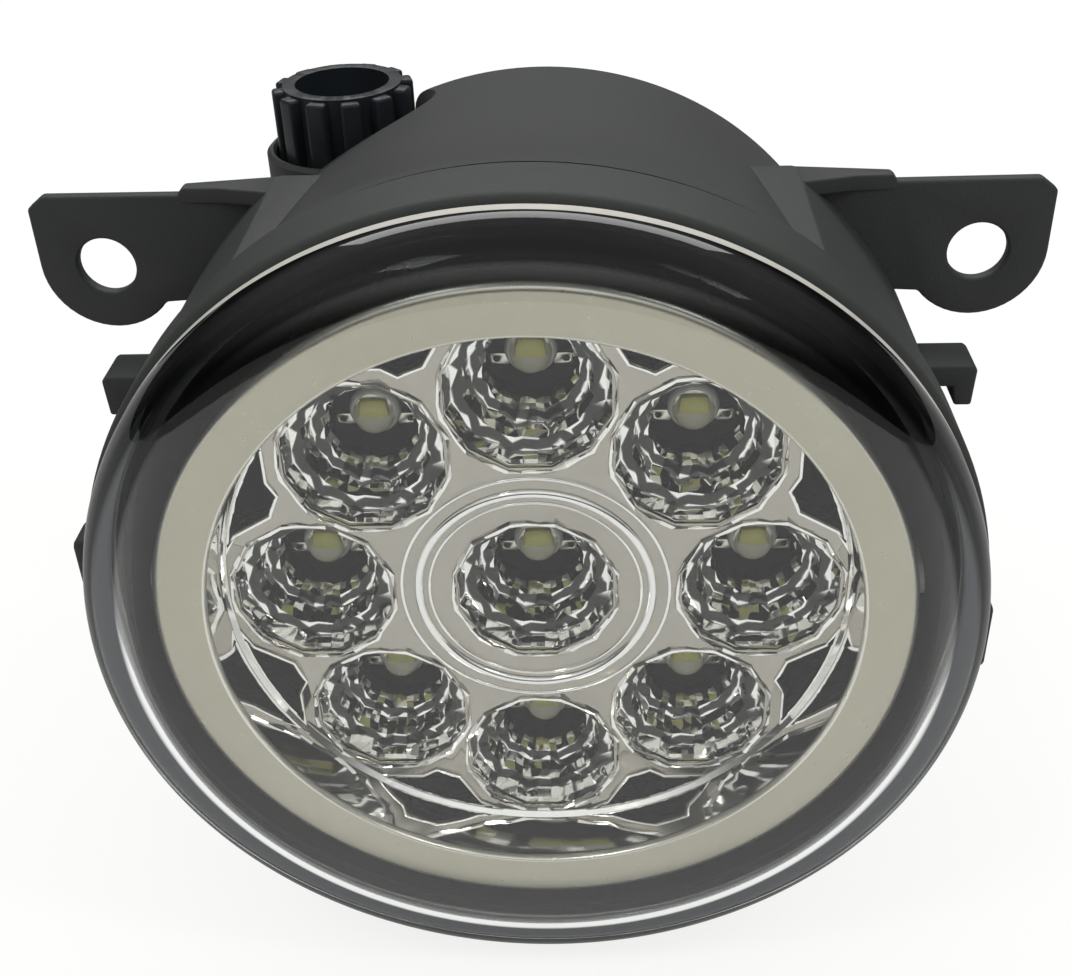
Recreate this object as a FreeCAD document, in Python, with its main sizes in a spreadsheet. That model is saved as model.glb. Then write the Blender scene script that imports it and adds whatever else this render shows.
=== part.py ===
import FreeCAD, Part
import math
import os
import Sketcher

# Fog light with nine LED cups, a clear cap lens, two mounting ears and a vertical aim adjuster.
# Row frame: +X to the right seen from the front, +Y to the rear, +Z up.
# Origin: midway between the two ear holes, on the ears' front faces.
# Most pieces are drawn in the optical frame, whose origin is on the lamp's axis in the lens seat
# plane; it lies SeatDepth in front of the ears and AxisDrop below their holes.

DIMENSIONS = {
    # mounting ears, and where the optical axis lies from the middle of their holes
    "HolePitch": 96.0, "HoleRadius": 3.25, "EarThick": 1.6, "LobeRadius": 7.5, "EarRise": 8.2,
    "NotchDrop": 3.8, "EarCorner": 1.6, "EarRoot": 29.0, "SeatDepth": 31.0, "AxisDrop": 26.0,
    # lens: each circle's inset from the rim, and its distance in front of the seat
    "LensRadius": 45.0, "RimFront": 0.6, "SkirtInset": 0.9, "SkirtFront": 3.6, "BendInset": 2.7,
    "BendFront": 5.8, "FaceInset": 6.2, "FaceFront": 7.2,
    "LensWall": 2.2, "FaceCurve": 750.0, "FaceBulge": 1.0,
    # housing: the front circles are set from the lens rim
    "SeatGap": 0.3, "SeatInset": 0.8, "CollarProud": 0.6, "CollarFront": 1.6, "CollarRear": 8.6,
    "BoreInset": 3.4, "BarrelInset": 1.0, "NeckRear": 34.2, "DeckHeight": 35.0, "BarrelBack": 39.6,
    "BarrelEdge": 1.0, "HousingDepth": 58.0, "HousingWall": 2.2, "ServiceRadius": 22.0,
    "FlangeReach": 38.5, "FlangeThick": 1.8, "FlangeCorner": 1.2, "WebRun": 1.7,
    "SealInset": 2.7, "SealWidth": 1.4, "SealDepth": 1.0,
    # side hooks and keying lugs
    "HookProud": 0.7, "HookTop": 19.8, "HookFront": 16.5, "HookLength": 5.5, "HookThick": 2.4,
    "HookArm": 6.0, "HookLip": 2.2, "HookDrop": 2.2, "LugProud": 1.6, "LugFront": 3.0, "LugLength": 4.6,
    "LugHeight": 8.0, "LugDrop": 1.0,
    # trim ring
    "TrimOuter": 38.4, "TrimInner": 33.0, "TrimWall": 0.8, "TrimFront": 0.9, "TrimLip": 2.5, "FitGap": 0.1,
    # reflector
    "PanelRadius": 32.3, "PanelFront": 6.0, "PanelThick": 1.4, "SkirtWall": 1.0, "CupRing": 23.4,
    "CupRim": 8.5, "CupMid": 7.0, "CupFloor": 5.3, "CupMidDepth": 4.6, "CupDepth": 10.0, "CupWall": 0.8,
    "PocketRing": 31.4, "PocketRadius": 2.9, "BeadRadius": 13.2, "BeadThick": 0.6,
    "PostRing": 13.6, "PostRadius": 2.4,
    # lamp board, lamps and heat sink
    "BoardGap": 0.3, "BoardRadius": 30.5, "BoardThick": 1.6, "PadThick": 0.3, "BodyRadius": 3.6,
    "BodyThick": 1.3, "DomeRadius": 2.6, "PhosphorHalf": 1.1, "PhosphorThick": 0.3, "LeadLength": 1.4,
    "LeadWidth": 1.4, "LeadThick": 0.4, "SinkRadius": 30.0, "SinkThick": 3.5, "FinLength": 15.0,
    "FinThick": 1.5, "FinPitch": 5.0, "FinHalf": 24.0,
    # tilt pivot
    "PivotBack": 9.5, "PivotLugRadius": 4.0, "PivotLugInner": 31.0, "PivotLugOuter": 35.8, "PinRadius": 1.5,
    "PinRun": 0.05, "PinInner": 33.0, "PinOuter": 40.6, "BushRadius": 2.5, "BushInner": 36.4,
    "BushLength": 4.6, "PivotBossRadius": 4.5,
    # aim adjuster
    "KnobSide": 22.8, "KnobBack": 50.0, "KnobTip": 8.2, "KnobRoot": 6.5, "KnobBore": 5.5, "KnobTop": 40.3,
    "KnobBase": 30.7, "KnobFloor": 2.7, "KnobHub": 4.6, "HubGap": 0.1, "RibWidth": 2.4,
    "ReliefRadius": 10.8, "ReliefFloor": 28.0, "TowerRadius": 9.7, "TowerTop": 33.0, "TowerFoot": 23.0,
    "TowerGap": 0.45, "ShaftRadius": 2.4, "ShaftEnd": 8.0, "ShaftRun": 0.08, "ShaftSealRadius": 4.0,
    "ShaftSealThick": 1.4, "ClipRadius": 4.2, "ClipThick": 0.8, "NutHeight": 16.0, "NutSize": 6.0,
    "NutThick": 5.0, "TrunnionRadius": 1.45, "TrunnionReach": 5.0, "SlotGap": 0.15, "TineInner": 3.3,
    "TineThick": 1.6, "TineHeight": 7.0, "SlotFront": 45.8, "TineBack": 53.6,
    "ForkRoom": 1.6,
    # rear cover, socket and driver
    "GasketThick": 0.8, "CoverRadius": 28.2, "CoverThick": 2.4, "SpigotDepth": 2.2, "SpigotGap": 0.2,
    "CoverScrewRing": 25.4, "CoverBossRadius": 2.9, "SocketDrop": 5.0, "SocketWidth": 24.0,
    "SocketHeight": 14.0, "SocketWall": 2.0, "SocketLength": 14.0, "KeySetback": 2.3, "BladePitch": 9.0,
    "BladeWidth": 2.8, "BladeThick": 0.8, "BladeReach": 8.5, "BladeTail": 0.8, "CardWidth": 28.0,
    "CardHeight": 20.0, "CardThick": 1.6,
    "CardFront": 50.4, "CardPostRadius": 2.0, "CardInset": 2.6, "CoilRadius": 5.0, "CoilBore": 2.0,
    "CoilLength": 6.5, "CoilSide": 5.0, "CoilHeight": 3.5, "CanRadius": 2.8, "CanLength": 8.0,
    "CanSide": 4.5, "CanHeight": 5.5, "ChipSize": 6.0, "ChipThick": 1.5, "ChipSide": 2.2, "ChipDrop": 0.8,
    "ScrewRadius": 1.2, "HeadRadius": 2.2, "HeadThick": 1.4, "CoverScrewLength": 8.0,
    "BoardScrewLength": 9.0, "CardScrewLength": 5.0, "HoleGap": 0.3,
    # pressure vent
    "VentRing": 33.4, "VentRadius": 4.0, "VentLength": 4.0, "VentRoof": 1.2, "VentSlot": 1.2,
    "NippleRadius": 2.4, "NippleBore": 1.0,
}
DERIVED = {
    "SkirtRadius": "(LensRadius - SkirtInset)", "BendRadius": "(LensRadius - BendInset)",
    "FaceRadius": "(LensRadius - FaceInset)", "SeatRadius": "(LensRadius - SeatInset)",
    "CollarRadius": "(LensRadius + CollarProud)", "FrontBore": "(LensRadius - BoreInset)",
    "SealInner": "(LensRadius - SealInset)", "SealOuter": "(LensRadius - SealInset + SealWidth)",
    "NeckRadius": "(LensRadius)", "BarrelFront": "(LensRadius - BarrelInset)",
    "HookReach": "(LensRadius + HookProud)", "LugReach": "(LensRadius + CollarProud + LugProud)",
}
OUTER_CUPS = 8
FACETS = 12
KNOB_RIBS = 12
FINS = 9
VENT_ANGLE = -60
COVER_SCREW_ANGLES = (90, 210, 330)
POST_ANGLES = (22.5, 112.5, 202.5, 292.5)

doc = FreeCAD.newDocument("FogLight")
dims = doc.addObject("Spreadsheet::Sheet", "Dims")
for row, (alias, value) in enumerate(DIMENSIONS.items(), start=1):
    dims.set(f"A{row}", alias)
    dims.set(f"B{row}", str(value))
    dims.setAlias(f"B{row}", alias)
doc.recompute()

WORD = "ABCDEFGHIJKLMNOPQRSTUVWXYZabcdefghijklmnopqrstuvwxyz"
parts = {}


def linked(text):
    """An expression in which every dimension's name points at the sheet, and derived ones are spelt out."""
    out, word = "", ""
    for char in str(text) + " ":
        if char in WORD:
            word += char
            continue
        if word in DERIVED:
            word = linked(DERIVED[word])
        out += f"Dims.{word}" if word in DIMENSIONS else word
        out += char
        word = ""
    return out.strip()


def bind(item, **values):
    for path, text in values.items():
        item.setExpression(path.replace("__", "."), linked(text))


def put(item, x=0, y=0, z=0):
    bind(item, Placement__Base__x=x, Placement__Base__y=y, Placement__Base__z=z)
    return item


def turned(item, axis, degrees):
    item.Placement = FreeCAD.Placement(item.Placement.Base, FreeCAD.Rotation(FreeCAD.Vector(*axis), degrees))
    return item


def box(x, y, z, size_x, size_y, size_z):
    """A box from its low corner."""
    item = doc.addObject("Part::Box", "Box")
    bind(item, Length=size_x, Width=size_y, Height=size_z)
    return put(item, x, y, z)


ALONG = {"X": ((0, 1, 0), 90), "Y": ((1, 0, 0), -90), "Z": ((0, 0, 1), 0)}


def rod(along, radius, length, x=0, y=0, z=0):
    """A cylinder that starts at a point and runs towards +X, +Y or +Z."""
    item = doc.addObject("Part::Cylinder", "Rod")
    bind(item, Radius=radius, Height=length)
    turned(item, *ALONG[along])
    return put(item, x, y, z)


def group(kind, name, items):
    item = doc.addObject(kind, name)
    item.Shapes = items
    return item


def fuse(*items):
    return items[0] if len(items) == 1 else group("Part::MultiFuse", "Union", list(items))


def cut(base, *tools):
    item = doc.addObject("Part::Cut", "Cut")
    item.Base = base
    item.Tool = fuse(*tools)
    return item


def sketch_outline(body, plane, points):
    """A closed outline on one of the body's own planes, every corner held by two dimensions."""
    sketch = body.newObject("Sketcher::SketchObject", "Outline")
    features = body.Origin.OriginFeatures
    sketch.AttachmentSupport = [(next(f for f in features if f.Role == plane), "")]
    sketch.MapMode = "FlatFace"
    count = len(points)
    guess = [
        FreeCAD.Vector(60 + 20 * math.cos(2 * math.pi * i / count), 20 * math.sin(2 * math.pi * i / count), 0)
        for i in range(count)
    ]
    for i in range(count):
        sketch.addGeometry(Part.LineSegment(guess[i], guess[(i + 1) % count]), False)
    for i in range(count):
        sketch.addConstraint(Sketcher.Constraint("Coincident", i, 2, (i + 1) % count, 1))
    for i, corner in enumerate(points):
        for kind, text, start in zip(("DistanceX", "DistanceY"), corner, guess[i]):
            index = sketch.addConstraint(Sketcher.Constraint(kind, -1, 1, i, 1, start))
            sketch.setExpression(f"Constraints[{index}]", linked(text))
    return sketch


def revolved(points):
    """A solid of revolution about the optical axis from (radius, depth) corners."""
    body = doc.addObject("PartDesign::Body", "Turned")
    sketch = sketch_outline(body, "XY_Plane", points)
    turn = body.newObject("PartDesign::Revolution", "Revolution")
    turn.Profile = sketch
    turn.ReferenceAxis = (sketch, ["V_Axis"])
    turn.Angle = 360
    body.Tip = turn
    return body


def padded(plane, points, length):
    body = doc.addObject("PartDesign::Body", "Plate")
    sketch = sketch_outline(body, plane, points)
    pad = body.newObject("PartDesign::Pad", "Pad")
    pad.Profile = sketch
    bind(pad, Length=length)
    body.Tip = pad
    return body


def ring(inner, outer, front, back):
    return revolved([(inner, front), (outer, front), (outer, back), (inner, back)])


def tube(along, outer, inner, length, x=0, y=0, z=0):
    """A cylinder with a bore right through it."""
    return cut(rod(along, outer, length, x, y, z), rod(along, inner, length, x, y, z))


def common(*items):
    return group("Part::MultiCommon", "Common", list(items))


def several(items):
    item = doc.addObject("Part::Compound", "Set")
    item.Links = items
    return item


def faceted(x, z, wall, *stations):
    """A twelve-sided funnel through (radius, depth) stations, with two of its flats level."""
    rings = []
    for radius, depth in stations:
        outline = doc.addObject("Part::RegularPolygon", "Outline")
        outline.Polygon = FACETS
        bind(outline, Circumradius=f"{radius} + {wall}")
        half_side = FreeCAD.Rotation(FreeCAD.Vector(0, 0, 1), 180 / FACETS)
        facing = FreeCAD.Rotation(FreeCAD.Vector(1, 0, 0), -90)
        outline.Placement = FreeCAD.Placement(FreeCAD.Vector(), facing * half_side)
        rings.append(put(outline, x, depth, z))
    loft = doc.addObject("Part::Loft", "Funnel")
    loft.Sections = rings
    loft.Solid = True
    loft.Ruled = True
    return loft


def around(radius, angle):
    """The two expressions of a place on a ring about the optical axis."""
    return f"{radius} * cos({angle})", f"{radius} * sin({angle})"


def screw(x, z, seat, length, towards=1):
    """A pan-head screw seated at a depth; its head lies towards the rear (1) or the front (-1)."""
    if towards > 0:
        head = rod("Y", "HeadRadius", "HeadThick", x, seat, z)
        return fuse(head, rod("Y", "ScrewRadius", length, x, f"{seat} - {length}", z))
    head = rod("Y", "HeadRadius", "HeadThick", x, f"{seat} - HeadThick", z)
    return fuse(head, rod("Y", "ScrewRadius", length, x, seat, z))


def keep(label, item):
    """Registers a finished piece and carries it from the optical frame to the row frame."""
    holder = doc.addObject("Part::Compound", "Piece")
    holder.Links = [item]
    holder.Label = label
    parts[label] = put(holder, 0, "-SeatDepth", "-AxisDrop")


# ---------------------------------------------------------------- housing
def corner_cutter(side, x, z, size, depth, length):
    """A square bar stood on its edge, which takes a 45 degree corner off an outer top edge."""
    bar = box(0, 0, 0, f"1.5 * {size}", length, f"1.5 * {size}")
    turned(bar, (0, 1, 0), -45)
    return put(bar, f"{side} * ({x})", depth, f"{z} - {size}")


def ear(side):
    """A flat plate with a bolt hole; its lower end is round about the hole."""
    hole_x = side * 0.5
    root = "-HolePitch / 2" if side < 0 else "EarRoot"
    width = "HolePitch / 2 - EarRoot"
    plate = box(root, "SeatDepth", "AxisDrop - NotchDrop", width, "EarThick", "NotchDrop + EarRise")
    lobe = rod("Y", "LobeRadius", "EarThick", f"{hole_x} * HolePitch", "SeatDepth", "AxisDrop")
    tip_low = "-HolePitch / 2 - LobeRadius" if side < 0 else "HolePitch / 2"
    tip = box(tip_low, "SeatDepth", "AxisDrop", "LobeRadius", "EarThick", "EarRise")
    corner = corner_cutter(side, "HolePitch / 2 + LobeRadius", "AxisDrop + EarRise", "EarCorner",
                           "SeatDepth - 1", "EarThick + 2")
    hole = rod("Y", "HoleRadius", "EarThick + 2", f"{hole_x} * HolePitch", "SeatDepth - 1", "AxisDrop")
    return cut(fuse(plate, lobe, tip), hole, corner)


def hook(side):
    """An arm that leaves the neck sideways and turns down into a lip."""
    arm_x = "-HookReach" if side < 0 else "HookReach - HookArm"
    lip_x = "-HookReach" if side < 0 else "HookReach - HookLip"
    arm = box(arm_x, "HookFront", "HookTop - HookThick", "HookArm", "HookLength", "HookThick")
    return fuse(arm, box(lip_x, "HookFront", "HookTop - HookThick - HookDrop", "HookLip", "HookLength",
                         "HookDrop + HookThick"))


def build_flange():
    """A shelf level with the deck, with a slanted web from the neck's corner to each ear."""
    corner = "sqrt(NeckRadius ^ 2 - DeckHeight ^ 2)"
    ear_back = "SeatDepth + EarThick"
    outline = [(f"-{corner}", "NeckRear"), ("-FlangeReach", ear_back), ("-FlangeReach", "SeatDepth"),
               (f"-{corner}", "SeatDepth - WebRun"), (corner, "SeatDepth - WebRun"),
               ("FlangeReach", "SeatDepth"), ("FlangeReach", ear_back), (corner, "NeckRear")]
    shelf = put(padded("XY_Plane", outline, "FlangeThick"), 0, 0, "DeckHeight - FlangeThick")
    corners = [corner_cutter(side, "FlangeReach", "DeckHeight", "FlangeCorner", "SeatDepth - 1",
                             "NeckRear - SeatDepth + 2") for side in (-1, 1)]
    return cut(shelf, *corners)


def build_housing():
    collar = ring("FrontBore", "CollarRadius", "CollarFront", "CollarRear")
    seat = revolved([("FrontBore", "SeatGap"), ("SeatRadius", "SeatGap"), ("CollarRadius", "CollarFront"),
                     ("FrontBore", "CollarFront")])
    barrel = revolved([("0", "CollarRear - 1"), ("BarrelFront", "CollarRear - 1"),
                       ("BarrelBack", "HousingDepth - BarrelEdge"),
                       ("BarrelBack - BarrelEdge", "HousingDepth"), ("0", "HousingDepth")])
    neck = rod("Y", "NeckRadius", "NeckRear - CollarRear", 0, "CollarRear", 0)
    above = box("-NeckRadius", "CollarRear", "DeckHeight", "2 * NeckRadius", "NeckRear", "NeckRadius")
    flange = build_flange()
    relief = rod("Z", "ReliefRadius", "TowerRadius * 3", "-KnobSide", "KnobBack", "ReliefFloor")
    shell = cut(fuse(barrel, cut(neck, above), flange), relief)
    tower = cut(rod("Z", "TowerRadius", "TowerTop - TowerFoot", "-KnobSide", "KnobBack", "TowerFoot"),
                rod("Z", "KnobTip + TowerGap", "TowerTop", "-KnobSide", "KnobBack", "ReliefFloor"))
    ears = [ear(side) for side in (-1, 1)]
    hooks = [hook(side) for side in (-1, 1)]
    lug_width = "LugReach - CollarRadius + 2"
    lugs = [box("CollarRadius - 2", "LugFront", "-LugHeight - LugDrop", lug_width, "LugLength", "LugHeight"),
            box("-LugReach", "LugFront", 0, lug_width, "LugLength", "LugHeight")]
    outside = fuse(shell, tower, collar, seat, *ears, *hooks, *lugs)

    chamber = revolved([("0", "SeatGap - 1"), ("FrontBore", "SeatGap - 1"), ("FrontBore", "CollarRear"),
                        ("BarrelBack - HousingWall", "HousingDepth - HousingWall"),
                        ("0", "HousingDepth - HousingWall")])
    well = rod("Z", "ReliefRadius + HousingWall", "TowerRadius * 3", "-KnobSide", "KnobBack",
               "ReliefFloor - HousingWall")
    hollow = cut(chamber, well)
    bosses = [rod("X", "PivotBossRadius", "FrontBore + 1 - BushInner", x, "PivotBack", 0)
              for x in ("BushInner", "-FrontBore - 1")]
    bush_seats = [rod("X", "BushRadius", "BushLength", x, "PivotBack", 0)
                  for x in ("BushInner", "-BushInner - BushLength")]
    posts, drills = [], []
    depth = "(CoverScrewLength - CoverThick - GasketThick)"
    for angle in COVER_SCREW_ANGLES:
        x, z = around("CoverScrewRing", angle)
        posts.append(rod("Y", "CoverBossRadius", f"{depth} + 1", x, f"HousingDepth - {depth} - 1", z))
        drills.append(rod("Y", "ScrewRadius", f"{depth} + 1", x, f"HousingDepth - {depth}", z))
    vent_x, vent_z = around("VentRing", VENT_ANGLE)
    vent_front = "HousingDepth - HousingWall"
    nipple = rod("Y", "NippleRadius", "HousingWall + VentLength - VentRoof", vent_x, vent_front, vent_z)
    vent = rod("Y", "NippleBore", "HousingWall + VentLength", vent_x, vent_front, vent_z)
    service = rod("Y", "ServiceRadius", "3 * HousingWall", 0, "HousingDepth - 2 * HousingWall", 0)
    shaft_hole = rod("Z", "ShaftRadius + ShaftRun", "ReliefFloor", "-KnobSide", "KnobBack",
                     "ReliefFloor - HousingWall - 1")
    seal_pocket = rod("Z", "ShaftSealRadius", "TowerTop", "-KnobSide", "KnobBack",
                      "ReliefFloor - ShaftSealThick")
    groove = ring("SealInner", "SealOuter", "SeatGap - 1", "SeatGap + SealDepth")
    inside = fuse(cut(outside, hollow, service), *bosses, *posts, nipple)
    keep("housing", cut(inside, *bush_seats, *drills, vent, shaft_hole, seal_pocket, groove))


# ---------------------------------------------------------------- lens
def build_lens():
    inner = "LensRadius - LensWall"
    cap = revolved([("0", "-FaceFront"), ("FaceRadius", "-FaceFront"), ("BendRadius", "-BendFront"),
                    ("SkirtRadius", "-SkirtFront"), ("LensRadius", "-RimFront"), ("LensRadius", "0"),
                    (inner, "0"), ("BendRadius - LensWall", "LensWall - FaceFront"),
                    ("0", "LensWall - FaceFront")])
    bulge = doc.addObject("Part::Sphere", "Bulge")
    bind(bulge, Radius="FaceCurve")
    put(bulge, 0, "FaceCurve - FaceFront - FaceBulge", 0)
    dome = common(bulge, rod("Y", "FaceRadius", "2 * FaceBulge", 0, "-FaceFront - 2 * FaceBulge", 0))
    keep("lens", fuse(cap, dome))
    keep("lens_seal", ring("SealInner", "SealOuter", "0", "SeatGap + SealDepth"))


# ---------------------------------------------------------------- reflector
def cup_places():
    return [("0", "0")] + [around("CupRing", turn * 360 / OUTER_CUPS) for turn in range(OUTER_CUPS)]


def build_reflector():
    panel_back = "PanelFront + PanelThick"
    board_front = "PanelFront + CupDepth + BoardGap"
    skirt = revolved([("0", "PanelFront"), ("PanelRadius", "PanelFront"), ("TrimInner", "0"),
                      ("TrimOuter - TrimWall - FitGap", "0"), ("TrimOuter - TrimWall - FitGap", "1"),
                      ("TrimInner + SkirtWall", "1"), ("PanelRadius + SkirtWall", panel_back),
                      ("0", panel_back)])
    bead = ring("BeadRadius - BeadThick", "BeadRadius + BeadThick", "PanelFront - BeadThick",
                "PanelFront + BeadThick / 3")
    lug_length = "PivotLugOuter - PivotLugInner"
    lugs = []
    for x in ("PivotLugInner", "-PivotLugOuter"):
        lugs.append(rod("X", "PivotLugRadius", lug_length, x, "PivotBack", 0))
        lugs.append(box(x, "PanelFront + PanelThick / 2", "-PivotLugRadius", lug_length,
                        "PivotBack - PanelFront - PanelThick / 2", "2 * PivotLugRadius"))
    posts = [rod("Y", "PostRadius", f"{board_front} - PanelFront - 1", x, "PanelFront + 1", z)
             for x, z in (around("PostRing", angle) for angle in POST_ANGLES)]
    steps = (("CupRim", "PanelFront"), ("CupMid", "PanelFront + CupMidDepth"),
             ("CupFloor", "PanelFront + CupDepth"))
    shells = [faceted(x, z, "CupWall", *steps) for x, z in cup_places()]
    mouths = [faceted(x, z, "0", *steps) for x, z in cup_places()]
    cavity = revolved([("0", "-1"), ("TrimInner", "-1"), ("TrimInner", "0"), ("PanelRadius", "PanelFront"),
                       ("0", "PanelFront")])
    pocket_limit = rod("Y", "PanelRadius", "2 * PanelThick", 0, "PanelFront - 0.5", 0)
    pockets = []
    for turn in range(OUTER_CUPS):
        x, z = around("PocketRing", (turn + 0.5) * 360 / OUTER_CUPS)
        hole = rod("Y", "PocketRadius", "2 * PanelThick", x, "PanelFront - 0.5", z)
        pockets.append(common(hole, pocket_limit))
    screw_tip = f"{board_front} + BoardThick + PadThick + SinkThick - BoardScrewLength"
    drills = [rod("Y", "ScrewRadius", "BoardScrewLength", x, screw_tip, z)
              for x, z in (around("PostRing", angle) for angle in POST_ANGLES)]
    pin_length = "PinOuter - PinInner"
    pin_holes = [rod("X", "PinRadius", pin_length, x, "PivotBack", 0) for x in ("PinInner", "-PinOuter")]
    solid = cut(fuse(skirt, *shells, *lugs, *posts), cavity)
    keep("reflector", cut(fuse(solid, bead), *mouths, *pockets, *drills, *pin_holes))
    keep("trim_ring", revolved([("TrimInner", "-TrimFront"), ("TrimOuter - TrimWall", "-TrimFront"),
                                ("TrimOuter", "-TrimFront / 2"), ("TrimOuter", "TrimLip"),
                                ("TrimOuter - TrimWall", "TrimLip"), ("TrimOuter - TrimWall", "0"),
                                ("TrimInner", "0")]))
    keep("pivot_pins", several([rod("X", "PinRadius", pin_length, x, "PivotBack", 0)
                                for x in ("PinInner", "-PinOuter")]))
    bush_bore = "PinRadius + PinRun"
    keep("pivot_bushes", several([tube("X", "BushRadius", bush_bore, "BushLength", x, "PivotBack", 0)
                                  for x in ("BushInner", "-BushInner - BushLength")]))


# ---------------------------------------------------------------- lamps, board and heat sink
def build_lamps():
    board_front = "(PanelFront + CupDepth + BoardGap)"
    body_front = f"{board_front} - BodyThick"
    posts = [around("PostRing", angle) for angle in POST_ANGLES]
    bodies, dots, domes, leads = [], [], [], []
    for x, z in cup_places():
        bodies.append(rod("Y", "BodyRadius", "BodyThick", x, body_front, z))
        dot = [f"{x} - PhosphorHalf", f"{body_front} - PhosphorThick", f"{z} - PhosphorHalf"]
        dot_size = ["2 * PhosphorHalf", "PhosphorThick", "2 * PhosphorHalf"]
        dots.append(box(*dot, *dot_size))
        ball = doc.addObject("Part::Sphere", "Ball")
        bind(ball, Radius="DomeRadius")
        put(ball, x, body_front, z)
        front_half = rod("Y", "DomeRadius", "DomeRadius", x, f"{body_front} - DomeRadius", z)
        domes.append(cut(common(ball, front_half), box(*dot, *dot_size)))
        for low in (f"{x} + BodyRadius", f"{x} - BodyRadius - LeadLength"):
            leads.append(box(low, f"{board_front} - LeadThick", f"{z} - LeadWidth / 2", "LeadLength",
                             "LeadThick", "LeadWidth"))
    keep("led_bodies", several(bodies))
    keep("led_phosphors", several(dots))
    keep("led_domes", several(domes))
    keep("led_leads", several(leads))

    board = rod("Y", "BoardRadius", "BoardThick", 0, board_front, 0)
    board_drills = [rod("Y", "ScrewRadius", "BoardThick", x, board_front, z) for x, z in posts]
    keep("led_board", cut(board, *board_drills))
    pad_front = f"({board_front} + BoardThick)"
    pad = rod("Y", "SinkRadius", "PadThick", 0, pad_front, 0)
    pad_drills = [rod("Y", "ScrewRadius", "PadThick", x, pad_front, z) for x, z in posts]
    keep("thermal_pad", cut(pad, *pad_drills))

    sink_front = f"({pad_front} + PadThick)"
    sink_back = f"({sink_front} + SinkThick)"
    plate = rod("Y", "SinkRadius", "SinkThick", 0, sink_front, 0)
    fins = []
    for number in range(FINS):
        x = f"{number - FINS // 2} * FinPitch - FinThick / 2"
        fins.append(box(x, f"{sink_back} - 0.5", "-FinHalf", "FinThick", "FinLength + 0.5", "2 * FinHalf"))
    wells = [rod("Y", "HeadRadius + HoleGap", "FinLength", x, sink_back, z) for x, z in posts]
    drills = [rod("Y", "ScrewRadius", "SinkThick", x, sink_front, z) for x, z in posts]
    arm_half = "(TineInner + TineThick)"
    arm_front = f"({sink_front} + SinkThick / 2)"
    arm = box(f"-KnobSide - {arm_half}", arm_front, "NutHeight - TineHeight / 2", f"2 * {arm_half}",
              f"TineBack - {arm_front}", "TineHeight")
    fork = box("-KnobSide - TineInner", "KnobBack - NutSize / 2 - ForkRoom", "NutHeight - TineHeight",
               "2 * TineInner", "TineBack - KnobBack + NutSize", "2 * TineHeight")
    slot = box(f"-KnobSide - {arm_half}", "SlotFront", "NutHeight - TrunnionRadius - SlotGap",
               f"2 * {arm_half}", "TineBack", "2 * (TrunnionRadius + SlotGap)")
    keep("heat_sink", cut(fuse(cut(fuse(plate, *fins), *wells), arm), *drills, fork, slot))
    keep("board_screws", several([screw(x, z, sink_back, "BoardScrewLength") for x, z in posts]))


# ---------------------------------------------------------------- aim adjuster
def build_adjuster():
    at = ("-KnobSide", "KnobBack")
    core = rod("Z", "KnobRoot", "KnobTop - KnobBase", *at, "KnobBase")
    hub = rod("Z", "KnobHub", "KnobBase - ReliefFloor - HubGap", *at, "ReliefFloor + HubGap")
    ribs = []
    for number in range(KNOB_RIBS):
        angle = number * 360 / KNOB_RIBS
        x = f"-KnobSide + (KnobTip - RibWidth / 2) * cos({angle})"
        y = f"KnobBack + (KnobTip - RibWidth / 2) * sin({angle})"
        ribs.append(rod("Z", "RibWidth / 2", "KnobTop - KnobBase", x, y, "KnobBase"))
    bore = rod("Z", "KnobBore", "KnobTop", *at, "KnobBase + KnobFloor")
    shaft_end = "KnobBase + KnobFloor"
    shaft_hole = rod("Z", "ShaftRadius", "KnobTop", *at, "ReliefFloor")
    keep("adjuster_knob", cut(fuse(core, hub, *ribs), bore, shaft_hole))
    keep("adjuster_screw", rod("Z", "ShaftRadius", f"{shaft_end} - ShaftEnd", *at, "ShaftEnd"))
    keep("adjuster_clip", tube("Z", "ClipRadius", "ShaftRadius", "ClipThick", *at,
                               "ReliefFloor - HousingWall - HubGap - ClipThick"))
    keep("adjuster_seal", tube("Z", "ShaftSealRadius", "ShaftRadius + ShaftRun", "ShaftSealThick", *at,
                               "ReliefFloor - ShaftSealThick"))
    block = box("-KnobSide - NutSize / 2", "KnobBack - NutSize / 2", "NutHeight - NutThick / 2", "NutSize",
                "NutSize", "NutThick")
    trunnions = rod("X", "TrunnionRadius", "2 * TrunnionReach", "-KnobSide - TrunnionReach", "KnobBack",
                    "NutHeight")
    thread_bore = rod("Z", "ShaftRadius + ShaftRun", "ReliefFloor", *at, 0)
    keep("adjuster_nut", cut(fuse(block, trunnions), thread_bore))


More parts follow.
